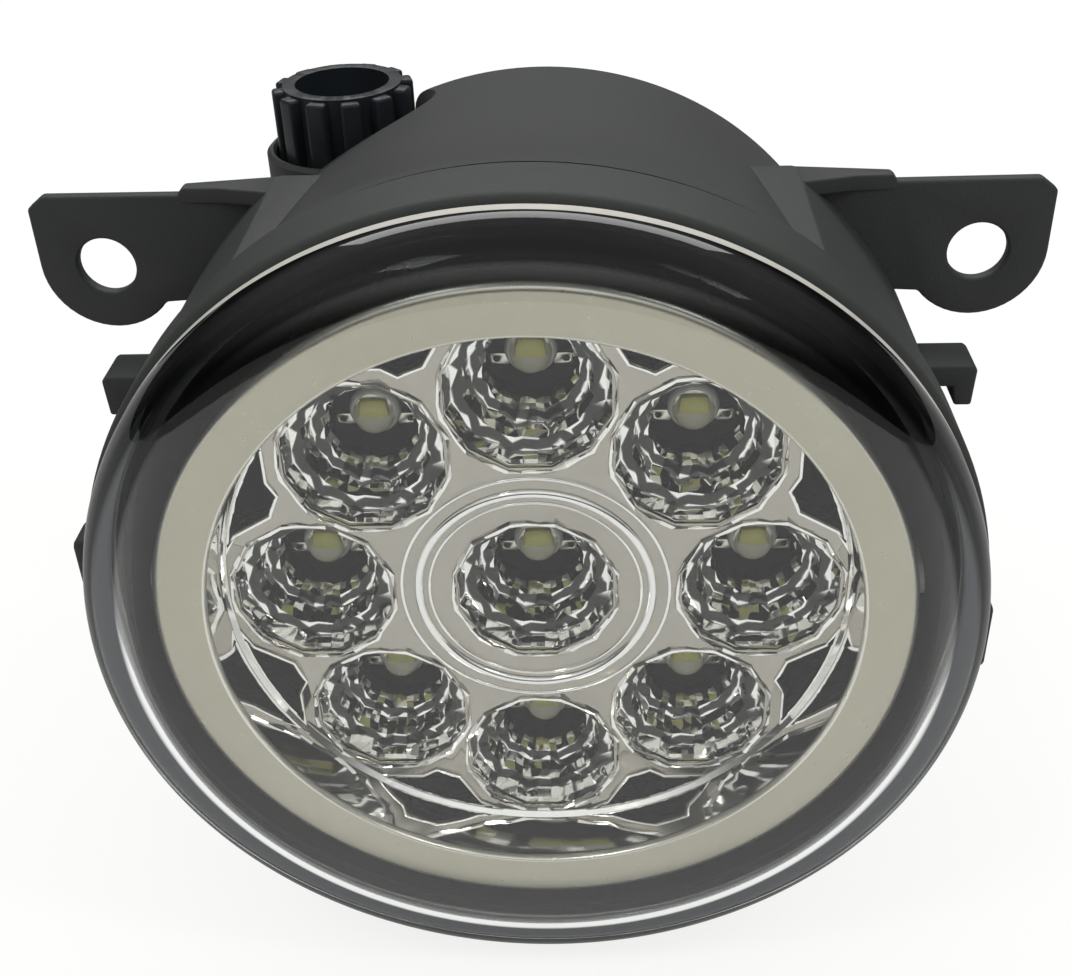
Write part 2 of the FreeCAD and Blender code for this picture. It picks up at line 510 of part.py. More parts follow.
# ---------------------------------------------------------------- rear cover, socket and driver
def build_rear():
    places = [around("CoverScrewRing", angle) for angle in COVER_SCREW_ANGLES]
    gasket = ring("ServiceRadius", "CoverRadius", "HousingDepth", "HousingDepth + GasketThick")
    gasket_drills = [rod("Y", "ScrewRadius", "3 * GasketThick", x, "HousingDepth - GasketThick", z)
                     for x, z in places]
    keep("cover_gasket", cut(gasket, *gasket_drills))
    front = "(HousingDepth + GasketThick)"
    back = f"({front} + CoverThick)"
    disc = rod("Y", "CoverRadius", "CoverThick", 0, front, 0)
    root = f"{back} - CoverThick / 2"
    spigot = rod("Y", "ServiceRadius - SpigotGap", "SpigotDepth + CoverThick / 2", 0,
                 f"{front} - SpigotDepth", 0)
    socket = box("-SocketWidth / 2", root, "-SocketDrop - SocketHeight / 2", "SocketWidth",
                 "SocketLength + CoverThick / 2", "SocketHeight")
    mouth = box("-SocketWidth / 2 + SocketWall", back, "-SocketDrop - SocketHeight / 2 + SocketWall",
                "SocketWidth - 2 * SocketWall", "SocketLength + 1", "SocketHeight - 2 * SocketWall")
    key = box("-SocketWall", root, "-SocketDrop + SocketHeight / 2 - SocketWall / 4", "2 * SocketWall",
              "SocketLength - KeySetback", "SocketWall")
    corner_x = "(CardWidth / 2 - CardInset)"
    corner_z = "(CardHeight / 2 - CardInset)"
    corners = [(f"{a} * {corner_x}", f"{b} * {corner_z}") for a in (-1, 1) for b in (-1, 1)]
    card_back = "(CardFront + CardThick)"
    posts = [rod("Y", "CardPostRadius", f"{front} - {card_back}", x, card_back, z) for x, z in corners]
    drills = [rod("Y", "ScrewRadius", "CardScrewLength", x, "CardFront", z) for x, z in corners]
    holes = [rod("Y", "ScrewRadius", "3 * CoverThick", x, f"{front} - CoverThick", z) for x, z in places]
    blades, slits = [], []
    for side in (-1, 1):
        blade = [f"{side} * BladePitch / 2 - BladeWidth / 2", "CardFront - BladeTail",
                 "-SocketDrop - BladeThick / 2", "BladeWidth", f"{back} + BladeReach - CardFront + BladeTail",
                 "BladeThick"]
        blades.append(box(*blade))
        slits.append(box(*blade))
    keep("rear_cover", cut(fuse(disc, spigot, socket, key, *posts), mouth, *drills, *holes, *slits))
    keep("socket_blades", several(blades))
    keep("cover_screws", several([screw(x, z, back, "CoverScrewLength") for x, z in places]))

    card = box("-CardWidth / 2", "CardFront", "-CardHeight / 2", "CardWidth", "CardThick", "CardHeight")
    card_drills = [rod("Y", "ScrewRadius", "CardThick", x, "CardFront", z) for x, z in corners]
    card_slits = [box(f"{side} * BladePitch / 2 - BladeWidth / 2", "CardFront",
                      "-SocketDrop - BladeThick / 2", "BladeWidth", "CardThick", "BladeThick")
                  for side in (-1, 1)]
    keep("driver_board", cut(card, *card_drills, *card_slits))
    keep("card_screws", several([screw(x, z, "CardFront", "CardScrewLength", -1) for x, z in corners]))
    keep("driver_coil", tube("Y", "CoilRadius", "CoilBore", "CoilLength", "CoilSide",
                             "CardFront - CoilLength", "CoilHeight"))
    keep("driver_capacitor", rod("Y", "CanRadius", "CanLength", "-CanSide", "CardFront - CanLength",
                                 "CanHeight"))
    keep("driver_chip", box("-ChipSide - ChipSize", "CardFront - ChipThick", "-ChipDrop - ChipSize / 2",
                            "ChipSize", "ChipThick", "ChipSize"))

    vent_x, vent_z = around("VentRing", VENT_ANGLE)
    cap = rod("Y", "VentRadius", "VentLength", vent_x, "HousingDepth", vent_z)
    bore = rod("Y", "NippleRadius", "VentLength - VentRoof", vent_x, "HousingDepth", vent_z)
    slot = box(f"{vent_x} - VentRadius", "HousingDepth", f"{vent_z} - VentSlot / 2", "2 * VentRadius",
               "VentSlot", "VentSlot")
    keep("vent_cap", cut(cap, bore, slot))


build_housing()
build_lens()
build_reflector()
build_lamps()
build_adjuster()
build_rear()
doc.recompute()

for item in doc.Objects:
    if "Invalid" in item.State or "Error" in item.State:
        raise RuntimeError(f"{item.Label} did not recompute: {item.State}")
os.makedirs("parts", exist_ok=True)
for label, item in parts.items():
    shape = item.Shape
    if shape.isNull() or not shape.isValid() or not shape.Solids:
        raise RuntimeError(f"{label} has no valid solid")
    shape.exportStep(f"parts/{label}.step")
    print(f"{label}: {len(shape.Solids)} solids, {shape.Volume / 1000:.2f} cm3")
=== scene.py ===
# %% [markdown]
# # A round fog light
# The lamp's sizes and its moving bodies come from a finished CAD model, called the frame. This lesson
# builds the looks around it: clear lens, chromed reflector, moulded housing and the small pieces at the
# back. Everything is in metres, with the lens facing -Y and +Z up.

# %% Load the frame
import math
import bpy
from mathutils import Matrix, Vector


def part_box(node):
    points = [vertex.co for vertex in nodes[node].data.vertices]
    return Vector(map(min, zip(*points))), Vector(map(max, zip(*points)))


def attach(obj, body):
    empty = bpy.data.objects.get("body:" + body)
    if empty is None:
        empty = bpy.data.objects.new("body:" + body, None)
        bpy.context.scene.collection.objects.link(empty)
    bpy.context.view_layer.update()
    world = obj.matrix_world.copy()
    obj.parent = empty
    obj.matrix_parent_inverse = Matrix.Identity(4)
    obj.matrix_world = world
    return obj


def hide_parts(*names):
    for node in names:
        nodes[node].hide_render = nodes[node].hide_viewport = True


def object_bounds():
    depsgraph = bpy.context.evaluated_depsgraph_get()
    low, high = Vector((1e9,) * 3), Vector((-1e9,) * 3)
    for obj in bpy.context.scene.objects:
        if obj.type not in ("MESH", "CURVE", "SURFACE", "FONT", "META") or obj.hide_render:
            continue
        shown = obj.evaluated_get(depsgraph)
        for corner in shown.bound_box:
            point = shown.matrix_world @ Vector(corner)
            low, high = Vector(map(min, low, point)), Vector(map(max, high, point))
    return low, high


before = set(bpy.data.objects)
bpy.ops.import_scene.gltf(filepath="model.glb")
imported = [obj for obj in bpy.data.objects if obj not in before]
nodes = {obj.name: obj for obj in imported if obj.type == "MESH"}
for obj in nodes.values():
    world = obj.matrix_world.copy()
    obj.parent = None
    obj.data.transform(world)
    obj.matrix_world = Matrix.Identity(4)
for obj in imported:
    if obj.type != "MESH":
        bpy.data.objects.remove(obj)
cad_low, cad_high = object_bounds()
print("CAD box in mm:", [round(1000 * v) for v in cad_high - cad_low])

# %% [markdown]
# ## Where the middle of the lamp is
# Every round piece shares one optical axis. It is read from the lens, so nothing has to be fitted by eye:
# the axis runs along Y through the middle of the lens, and depths are counted in millimetres from the
# lens's rear rim. The sizes that a shape and a finish share are named here too: the ring, the depth of the
# reflector's panel, and the ledges and the throat of a cup, counted from the panel.

# %% The optical axis
MM = 0.001
lens_low, lens_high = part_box("lens")
AXIS = Vector((0.0, lens_high.y, (lens_low.z + lens_high.z) / 2))
RIM = (lens_high.x - lens_low.x) / 2 / MM
ring_low, ring_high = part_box("trim_ring")
RING = (ring_high.x - ring_low.x) / 2 / MM
RING_WIDTH = 5.4
RING_INNER = RING - RING_WIDTH
PANEL = 6.0
UPPER_LEDGE, LOWER_LEDGE, THROAT = (2.5, 2.8), (5.3, 5.6), 7.5
print("lens radius", round(RIM, 2), "mm, ring radius", round(RING, 2), "mm")


def at(x, depth, z):
    """A point given in millimetres from the optical axis and the lens's rear rim."""
    return AXIS + Vector((x, depth, z)) * MM


# %% [markdown]
# ## Working as by hand
# An operator acts on everything that is selected, so each step starts by selecting one object alone. A
# finished piece has its place in its mesh and its object at the origin, which is how the frame's own pieces
# are stored.

# %% Selecting, settling, carving and softening
def only(*objects):
    if bpy.context.mode != "OBJECT":
        bpy.ops.object.mode_set(mode="OBJECT")
    bpy.ops.object.select_all(action="DESELECT")
    for item in objects:
        item.select_set(True)
        bpy.context.view_layer.objects.active = item


def settle(item, name):
    only(item)
    bpy.ops.object.transform_apply(location=True, rotation=True, scale=True)
    item.name = item.data.name = name
    return item


def modify(item, kind, **settings):
    """Adds a modifier, sets it and applies it."""
    only(item)
    change = item.modifiers.new(kind.title(), kind)
    for key, value in settings.items():
        setattr(change, key, value)
    bpy.ops.object.modifier_apply(modifier=change.name)
    return item


def carve(item, tool, operation="DIFFERENCE"):
    modify(item, "BOOLEAN", operation=operation, solver="EXACT", object=tool)
    bpy.data.objects.remove(tool)
    return item


def soften(item, width, segments=3, angle=30):
    """Rounds every edge that is sharper than an angle."""
    return modify(item, "BEVEL", width=width * MM, segments=segments, limit_method="ANGLE",
                  angle_limit=math.radians(angle), use_clamp_overlap=True)


def join(name, pieces):
    only(*pieces)
    bpy.context.view_layer.objects.active = pieces[0]
    if len(pieces) > 1:
        bpy.ops.object.join()
    return settle(bpy.context.object, name)


def copy_at(item, offset):
    """A copy with a mesh of its own, moved by an offset in millimetres."""
    twin = item.copy()
    twin.data = item.data.copy()
    bpy.context.scene.collection.objects.link(twin)
    twin.location = Vector(offset) * MM
    return settle(twin, item.name)


def turned(item, degrees, axis, place):
    """Turns a piece about the optical axis's zero point, then carries that point to a place."""
    item.matrix_world = (Matrix.Translation(place) @ Matrix.Rotation(math.radians(degrees), 4, axis)
                         @ Matrix.Translation(-AXIS))
    return settle(item, item.name)


def smooth(item, angle=32):
    only(item)
    bpy.ops.object.shade_smooth_by_angle(angle=math.radians(angle))
    return item


# %% [markdown]
# ## A lathe made of extrusions
# Most of the lamp is turned. A ring of edges is added, and each point of the profile extrudes the ring,
# slides it along the axis and scales it about the axis. The last ring is welded to the first one, or the
# two ends are filled.

# %% Lathe
def lathe(name, profile, sides=192, along="Y", centre=None, closed=True, cuts=0, phase=0.0):
    """Turns (radius, depth) points in millimetres. Depths along Z count from the axis upwards."""
    middle = AXIS if centre is None else centre
    axis = "XYZ".index(along)
    turn = {"X": (phase, math.pi / 2, 0), "Y": (math.pi / 2, phase, 0), "Z": (0, 0, phase)}[along]
    radius, depth = profile[0]
    place = middle.copy()
    place[axis] += depth * MM
    only()
    bpy.ops.mesh.primitive_circle_add(vertices=sides, radius=radius * MM, location=place, rotation=turn)
    item = settle(bpy.context.object, name)
    bpy.ops.object.mode_set(mode="EDIT")
    bpy.ops.mesh.select_all(action="SELECT")
    if cuts:
        bpy.ops.mesh.subdivide(number_cuts=cuts)
    for next_radius, next_depth in profile[1:]:
        step, size = [0.0] * 3, [next_radius / radius] * 3
        step[axis], size[axis] = (next_depth - depth) * MM, 1.0
        place[axis] += step[axis]
        bpy.ops.mesh.extrude_region_move(TRANSFORM_OT_translate={"value": step})
        bpy.ops.transform.resize(value=size, center_override=place)
        radius, depth = next_radius, next_depth
    bpy.ops.mesh.select_all(action="SELECT")
    if closed:
        bpy.ops.mesh.remove_doubles(threshold=1e-6)
    else:
        bpy.ops.mesh.fill_holes(sides=0)
    bpy.ops.mesh.select_all(action="SELECT")
    bpy.ops.mesh.normals_make_consistent(inside=False)
    bpy.ops.object.mode_set(mode="OBJECT")
    return item


def arc(centre, radii, start, end, count):
    """Points on part of an ellipse in the profile's plane, angles in degrees."""
    points = []
    for number in range(count + 1):
        angle = math.radians(start + (end - start) * number / count)
        points.append((centre[0] + radii[0] * math.cos(angle), centre[1] + radii[1] * math.sin(angle)))
    return points


def loop(profile):
    return profile + profile[:1]


def block(name, low, high):
    """A box between two corners given in millimetres about the optical axis."""
    a, b = at(*low), at(*high)
    only()
    bpy.ops.mesh.primitive_cube_add(size=1, location=(a + b) / 2, scale=b - a)
    return settle(bpy.context.object, name)


def plate(name, outline, low, high, along="Y"):
    """A flat plate: one point is extruded round an outline, the outline is filled and the face is pulled."""
    corners = [at(u, low, v) if along == "Y" else at(u, v, low) for u, v in outline]
    only()
    bpy.ops.mesh.primitive_plane_add(size=MM, location=corners[0])
    item = settle(bpy.context.object, name)
    bpy.ops.object.mode_set(mode="EDIT")
    bpy.ops.mesh.select_all(action="SELECT")
    bpy.ops.mesh.merge(type="CENTER")
    for here, there in zip(corners, corners[1:] + corners[:1]):
        bpy.ops.mesh.extrude_vertices_move(TRANSFORM_OT_translate={"value": there - here})
    bpy.ops.mesh.select_all(action="SELECT")
    bpy.ops.mesh.remove_doubles(threshold=1e-6)
    bpy.ops.mesh.edge_face_add()
    pull = (0, (high - low) * MM, 0) if along == "Y" else (0, 0, (high - low) * MM)
    bpy.ops.mesh.extrude_region_move(TRANSFORM_OT_translate={"value": pull})
    bpy.ops.mesh.select_all(action="SELECT")
    bpy.ops.mesh.normals_make_consistent(inside=False)
    return settle(item, name)


# %% [markdown]
# ## Shader maths as plain expressions
# A small class holds a socket, so that a * 2 + b adds the Math nodes by itself. All other nodes come from
# one method that takes the node's type, its settings and its inputs. It serves materials and the world
# alike, and a finish is a material that starts from a Principled shader.

# %% Node helpers
class Signal:
    """A number that varies over the surface."""

    def __init__(self, finish, socket):
        self.finish, self.socket = finish, socket

    def combine(self, operation, *others):
        inputs = dict(enumerate((self, *others)))
        return self.finish.node("Math", {"operation": operation}, inputs)

    def __add__(self, other):
        return self.combine("ADD", other)

    def __mul__(self, other):
        return self.combine("MULTIPLY", other)

    def __sub__(self, other):
        return self.combine("SUBTRACT", other)

    def __rsub__(self, other):
        return self.finish.node("Math", {"operation": "SUBTRACT"}, {0: other, 1: self})

    def between(self, low, high, edge=0.06):
        """1 between two values and 0 outside them."""
        return self.step(low - edge, low) * (1 - self.step(high, high + edge))

    def step(self, low, high):
        """0 below one value, 1 above the other, and a soft rise between them."""
        inputs = {"Value": self, "From Min": low, "From Max": high}
        return self.finish.node("MapRange", {"interpolation_type": "SMOOTHSTEP"}, inputs)

    __radd__, __rmul__ = __add__, __mul__


class Nodes:
    """A node tree with one main node, and short ways to add nodes and to link them."""

    def __init__(self, tree, main):
        self.tree, self.shader = tree, tree.nodes[main]

    def feed(self, name, value, node=None):
        socket = (node or self.shader).inputs[name]
        if isinstance(value, Signal):
            self.tree.links.new(value.socket, socket)
        else:
            socket.default_value = value

    def node(self, kind, settings=None, inputs=None, output=0):
        made = self.tree.nodes.new("ShaderNode" + kind)
        for key, value in (settings or {}).items():
            setattr(made, key, value)
        for key, value in (inputs or {}).items():
            self.feed(key, value, made)
        return Signal(self, made.outputs[output])


class Finish(Nodes):
    """One material with a Principled shader."""

    def __init__(self, name, color, roughness, **shader):
        self.material = bpy.data.materials.new(name)
        self.material.use_nodes = True
        self.material.diffuse_color = (*color, 1)
        super().__init__(self.material.node_tree, "Principled BSDF")
        self.color = (*color, 1)
        self.feed("Base Color", self.color)
        self.feed("Roughness", roughness)
        for key, value in shader.items():
            self.feed(key.replace("_", " "), value)

    def place(self):
        return self.node("TexCoord", output=3)

    def noise(self, scale, detail=3.0, roughness=0.55):
        inputs = {"Vector": self.place(), "Scale": scale, "Detail": detail, "Roughness": roughness}
        return self.node("TexNoise", {}, inputs)

    def axes(self):
        """The place on the piece, as three signals in metres."""
        split = self.node("SeparateXYZ", {}, {"Vector": self.place()})
        return [Signal(self, output) for output in split.socket.node.outputs]

    def bump(self, height, distance):
        inputs = {"Strength": 1.0, "Distance": distance * MM, "Height": height}
        self.feed("Normal", self.node("Bump", {}, inputs))

    def mix(self, mask, low, high):
        """Blends two colours by a mask."""
        low, high = [item if isinstance(item, Signal) else (*item, 1) for item in (low, high)]
        return self.node("Mix", {"data_type": "RGBA"}, {0: mask, 6: low, 7: high}, output=2)

    def shade(self, mask, low, high):
        """Base colour between two tints of the finish's own colour."""
        tints = [[min(1, part * share) for part in self.color[:3]] for share in (low, high)]
        self.feed("Base Color", self.mix(mask, *tints))


def wear(finish, node):
    """Gives a CAD node a finish."""
    slots = nodes[node].material_slots
    if not slots:
        nodes[node].data.materials.append(finish.material)
    for entry in slots:
        entry.material = finish.material


def dress(item, finish, body, slot, *replaced):
    """Finish and body for a new piece, and the CAD nodes that it stands for, which are hidden. The slot
    argument is not used.
    """
    item.data.materials.clear()
    item.data.materials.append(finish.material)
    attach(item, body)
    if replaced:
        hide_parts(*replaced)
    return item


# %% [markdown]
# ## Moulded plastic
# The housing is a glass-filled moulding. Its tool was spark-eroded, which leaves a very fine grain, and the
# plastic is a little cloudy over large areas. The knob comes from a polished tool, so it is darker and
# smoother.

# %% Housing and knob plastic
def moulded(name, color, roughness, grain, depth):
    finish = Finish(name, color, roughness, Specular_IOR_Level=0.45)
    cloud = finish.noise(38, 3)
    speck = finish.noise(grain, 2, 0.6)
    finish.shade(cloud * 0.7 + speck * 0.3, 0.72, 1.3)
    finish.feed("Roughness", cloud * 0.16 + speck * 0.10 + (roughness - 0.13))
    finish.bump(speck, depth)
    return finish


housing_plastic = moulded("housing_plastic", (0.026, 0.029, 0.027), 0.6, 3200, 0.04)
knob_plastic = moulded("knob_plastic", (0.011, 0.014, 0.017), 0.42, 1500, 0.010)

# %% [markdown]
# ## Clear, chromed and satin finishes
# The lens is clear polycarbonate: all transmission, with the plastic's own index. Its skirt is tinted dark on
# the outside as painted shade, for the dark housing and the dim room seen through it, apart from a clear
# window at the rim that lets the pale edge show through. The reflector is aluminium flashed on plastic under
# lacquer. Its flat panel gets a darker, warmer copy of the mirror colour as painted shade, for the dim room
# it reflects, and the ledges in the cups and all depths past their throats are painted dark as shade. The
# trim ring is satin silver, with a brighter colour along both edges as painted highlights. The masks come
# from two numbers that the piece's own place gives: the radius from the optical axis and the depth behind the
# lens's rim.

# %% Lens, chrome and satin silver
def radius_from_axis(finish):
    """Distance from the optical axis in millimetres."""
    x, _, z = finish.axes()
    height = z - AXIS.z
    return (x * x + height * height).combine("SQRT") * (1 / MM)


def depth_from_rim(finish):
    """Depth behind the lens's rear rim in millimetres."""
    return (finish.axes()[1] - AXIS.y) * (1 / MM)


# The dark skirt colour is painted shade, standing in for the dark housing and the dim room seen through the
# skirt.
CLEAR, SKIRT_SHADE = (0.97, 0.98, 0.975), (0.010, 0.011, 0.012)
clear_lens = Finish("clear_lens", CLEAR, 0.0, Transmission_Weight=1.0, IOR=1.5, Specular_IOR_Level=0.15)
haze = clear_lens.noise(90, 2)
clear_lens.feed("Roughness", haze * 0.012)
radius = radius_from_axis(clear_lens)
# The skirt mask places that painted shade, and the window near the rim stays clear.
skirt = radius.step(RIM - 2.4, RIM - 1.6)
inside_edge = 1 - radius.step(RIM - 0.55, RIM - 0.4)
window = depth_from_rim(clear_lens).step(-3.0, -2.4) * inside_edge
clear_lens.feed("Base Color", clear_lens.mix(skirt * (1 - window), CLEAR, SKIRT_SHADE))

# Only the first colour is the mirror's own. The panel colour and the dark ledge colour are painted shade.
MIRROR, PANEL_SHADE, LEDGE_SHADE = (0.86, 0.855, 0.83), (0.40, 0.38, 0.335), (0.05, 0.05, 0.048)
chrome = Finish("chrome", (0.86, 0.85, 0.82), 0.05, Metallic=1.0)
ripple = chrome.noise(55, 2)
depth = depth_from_rim(chrome)
# This mask puts painted shade on the panel's flat face: a darker, warmer copy of the mirror colour, for the
# dim room it reflects.
face = depth.between(PANEL - 0.05, PANEL + 0.05, 0.04)
# The dark ledge colour is painted shade. It goes on everything deeper than the cups' throats and on their two
# ledges.
ledges = depth.step(PANEL + THROAT, PANEL + THROAT + 0.1)
for near, far in (UPPER_LEDGE, LOWER_LEDGE):
    ledges = ledges + depth.between(PANEL + near + 0.06, PANEL + far - 0.02)
chrome.feed("Base Color", chrome.mix(ledges, chrome.mix(face, MIRROR, PANEL_SHADE), LEDGE_SHADE))
chrome.feed("Roughness", ripple * 0.05 + 0.02)
chrome.bump(ripple, 0.02)

# The brighter edge colour is a painted highlight along both of the ring's edges.
SATIN, EDGE_HIGHLIGHT = ((0.44, 0.42, 0.335), (0.50, 0.48, 0.39)), (0.86, 0.84, 0.76)
satin_silver = Finish("satin_silver", (0.47, 0.45, 0.36), 0.3, Metallic=1.0)
brush = satin_silver.noise(900, 2)
satin_silver.feed("Roughness", brush * 0.12 + 0.24)
radius = radius_from_axis(satin_silver)
# These masks place the painted highlights on the ring's outer and inner edges.
outer_highlight = radius.step(RING - 0.75, RING - 0.4)
inner_highlight = 1 - radius.step(RING_INNER + 0.2, RING_INNER + 0.4)
cloud = satin_silver.mix(satin_silver.noise(40, 2), *SATIN)
satin_silver.feed("Base Color", satin_silver.mix(outer_highlight + inner_highlight, cloud, EDGE_HIGHLIGHT))
satin_silver.bump(brush, 0.004)

# %% [markdown]
# ## Metals, rubber and boards behind the scenes
# These show at the back, through the cups or through the gap beside the ring, so each gets a fine grain of
# its own.

# %% Small finishes
def metal(name, color, roughness, grain):
    finish = Finish(name, color, roughness, Metallic=1.0)
    mask = finish.noise(grain, 3)
    finish.shade(mask, 0.85, 1.1)
    finish.feed("Roughness", mask * 0.2 + (roughness - 0.1))
    finish.bump(mask, 0.01)
    return finish


def dull(name, color, roughness, grain, depth=0.02, **shader):
    finish = Finish(name, color, roughness, **shader)
    mask = finish.noise(grain, 3)
    finish.shade(mask, 0.85, 1.15)
    finish.feed("Roughness", mask * 0.2 + (roughness - 0.1))
    finish.bump(mask, depth)
    return finish


# The pale rim colour is a painted highlight: the bright line of light along the lens's rear rim.
rim_highlight = dull("rim_highlight", (0.42, 0.41, 0.37), 0.5, 500, 0.004)
zinc = metal("zinc_steel", (0.62, 0.63, 0.62), 0.34, 900)
tinned = metal("tinned_brass", (0.70, 0.68, 0.60), 0.3, 700)
cast = metal("cast_aluminium", (0.50, 0.51, 0.52), 0.52, 1200)
can_metal = metal("can", (0.58, 0.60, 0.64), 0.3, 500)
rubber = dull("seal_rubber", (0.018, 0.018, 0.018), 0.7, 1500)
acetal = dull("bush_plastic", (0.72, 0.70, 0.64), 0.45, 800)
pad_grey = dull("thermal_pad", (0.30, 0.33, 0.36), 0.8, 900)
solder_mask = dull("board", (0.02, 0.11, 0.04), 0.35, 600)
lamp_board = dull("board_dark", (0.010, 0.011, 0.010), 0.5, 900, Specular_IOR_Level=0.15)
ferrite = dull("coil", (0.06, 0.055, 0.055), 0.6, 900)
epoxy = dull("chip", (0.02, 0.02, 0.02), 0.5, 1500)
ceramic = dull("led_body", (0.70, 0.70, 0.64), 0.4, 1500)
phosphor = dull("phosphor", (0.88, 0.90, 0.13), 0.35, 1800, 0.01, Coat_Weight=0.5)
dome_clear = Finish("dome_clear", (0.94, 0.92, 0.80), 0.08, Transmission_Weight=0.85, IOR=1.41)
dome_clear.feed("Roughness", dome_clear.noise(300, 2) * 0.05 + 0.06)

# %% [markdown]
# ## The lens
# It is one clear cap with a wall of just over two millimetres. Its face is very slightly domed, its skirt
# follows a quarter of an ellipse, and its rear rim is flat where it is glued to the seat. Outer and inner
# walls are both modelled, because the bright lines near the edge come from light that bends twice. A pale
# ring lies in a rebate round the rim, with a hair of air between the two. Its pale colour is a painted
# highlight: the bright line of light along the lens's rear rim.

# %% Lens
WALL = 2.2
FACE = RIM - 6.2
FACE_DEPTH = -7.2
BULGE = 1.0


def domed(edge, depth, bulge, count):
    """Profile of a shallow dome, from its edge to the middle."""
    points = []
    for number in range(1, count):
        share = 1 - number / count
        points.append((edge * share, depth - bulge * (1 - share ** 2)))
    return points


EDGE_WIDTH, EDGE_FRONT, AIR = 0.65, -1.3, 0.02
REBATE = RIM - EDGE_WIDTH
INNER_FACE = FACE - 1.3
INNER_START = -0.7
outer_bend = arc((FACE, EDGE_FRONT), (RIM - FACE, FACE_DEPTH - EDGE_FRONT), 0, 90, 18)
inner_radii = (RIM - WALL - INNER_FACE, FACE_DEPTH - INNER_START + WALL)
inner_bend = arc((INNER_FACE, INNER_START), inner_radii, 90, 0, 14)
outer_dome = domed(FACE, FACE_DEPTH, BULGE, 10)
inner_dome = domed(INNER_FACE, FACE_DEPTH + WALL, BULGE * 0.9, 10)
rim_profile = [(REBATE, EDGE_FRONT), (REBATE, 0.0), (RIM - WALL + 0.2, 0.0)]
lens_profile = outer_dome[::-1] + outer_bend[::-1] + rim_profile + inner_bend[::-1] + inner_dome
lens = lathe("lens_cap", lens_profile, sides=256, closed=False)
smooth(lens, 40)
dress(lens, clear_lens, "housing_body", "clear_lens", "lens")
# The pale ring's colour is the painted highlight of the lens's rear rim.
edge_profile = [(REBATE + AIR, EDGE_FRONT + AIR), (RIM, EDGE_FRONT + AIR), (RIM, -0.1), (RIM - 0.1, 0.0),
                (REBATE + AIR, 0.0)]
edge = smooth(lathe("lens_edge", loop(edge_profile), sides=256), 40)
dress(edge, rim_highlight, "housing_body", "clear_lens", "lens")
print("lens", len(lens.data.polygons), "faces")

# %% [markdown]
# ## The trim ring
# A satin ring hides the gap round the reflector. It is turned too, with a soft nose and a short lip at the
# back.

# %% Trim ring
NOSE, LIP, INNER_ROUND = 0.9, 0.8, 0.35
outer_nose = arc((RING - NOSE, 0.0), (NOSE, NOSE), -90, 0, 6)
rear_lip = [(RING, 2.5), (RING - LIP, 2.5), (RING - LIP, 0.0), (RING_INNER, 0.0)]
inner_nose = arc((RING_INNER + INNER_ROUND, -0.45), (INNER_ROUND, INNER_ROUND), 180, 270, 4)
ring_profile = loop(outer_nose + rear_lip + inner_nose)
trim = lathe("trim_band", ring_profile, sides=256)
smooth(trim, 40)
dress(trim, satin_silver, "optic", "satin_silver", "trim_ring")

# %% [markdown]
# ## The reflector's panel and wall
# The wall is a turned mirror, and the panel closes its rear. Nine cups open out of the panel, and eight
# pockets lie between the outer cups and the wall. Their edges run parallel to the flats of the cups beside
# them, and a thin sleeve stands a little proud round each. A round bead and two fine lines circle the
# middle cup.

# %% Panel, wall and pockets
PANEL_RADIUS = RING_INNER - 0.7
CUPS = 8
CUP_RING = 23.4
CUP_RIM = 8.5
FLATS = 12
cup_places = [(0.0, 0.0)]
for turn in range(CUPS):
    angle = 2 * math.pi * turn / CUPS
    cup_places.append((CUP_RING * math.cos(angle), CUP_RING * math.sin(angle)))
HALF_FLAT = math.pi / FLATS


def prism(name, radius, place, front, back):
    centre = at(place[0], 0, place[1])
    return lathe(name, [(radius, front), (radius, back)], sides=FLATS, centre=centre, closed=False,
                 phase=HALF_FLAT)


PANEL_BACK = PANEL + 1.4
WALL_BACK = 1.1
FLANGE = RING - 0.95
wall = lathe("wall", loop([(RING_INNER, 0.1), (PANEL_RADIUS + 0.5, PANEL - 0.6), (PANEL_RADIUS, PANEL),
                           (PANEL_RADIUS, PANEL_BACK), (PANEL_RADIUS + 1.0, PANEL_BACK),
                           (RING_INNER + 1.0, WALL_BACK), (FLANGE, WALL_BACK), (FLANGE, 0.1)]), sides=192)
panel_edge = PANEL_RADIUS + 0.1
panel = lathe("panel", [(panel_edge, PANEL), (panel_edge, PANEL_BACK)], sides=192, closed=False)


def pocket_cutter(name, inner, outer, clearance, front, back):
    band = lathe(name, loop([(inner, front), (outer, front), (outer, back), (inner, back)]), sides=192)
    for place in cup_places[1:]:
        carve(band, prism("gap", CUP_RIM + clearance, place, front - 1, back + 1))
    return band


carve(panel, pocket_cutter("pockets", 28.6, PANEL_RADIUS - 0.15, 2.1, PANEL - 1, PANEL + 3))
for place in cup_places:
    carve(panel, prism("mouth", CUP_RIM - 0.1, place, PANEL - 1, PANEL + 3))
soften(panel, 0.28, 2, 50)
sleeves = pocket_cutter("sleeves", 28.25, panel_edge, 1.72, PANEL - 0.22, PANEL + 5.0)
carve(sleeves, pocket_cutter("pockets", 28.55, PANEL_RADIUS - 0.2, 2.05, PANEL - 1, PANEL + 7))
soften(sleeves, 0.1, 2, 50)

BASE_LINE = PANEL - 0.03
BEAD_BACK = PANEL + 0.2
bead_profile = [(10.7, BEAD_BACK), (10.7, BASE_LINE)]
for middle, half_width, rise, count in ((11.1, 0.16, 0.14, 8), (12.25, 0.5, 0.46, 16), (14.0, 0.2, 0.16, 8)):
    bead_profile += arc((middle, BASE_LINE), (half_width, rise), 180, 360, count)
bead = lathe("bead", loop(bead_profile + [(14.4, BASE_LINE), (14.4, BEAD_BACK)]), sides=160)
for piece in (wall, panel, sleeves, bead):
    smooth(piece, 35)

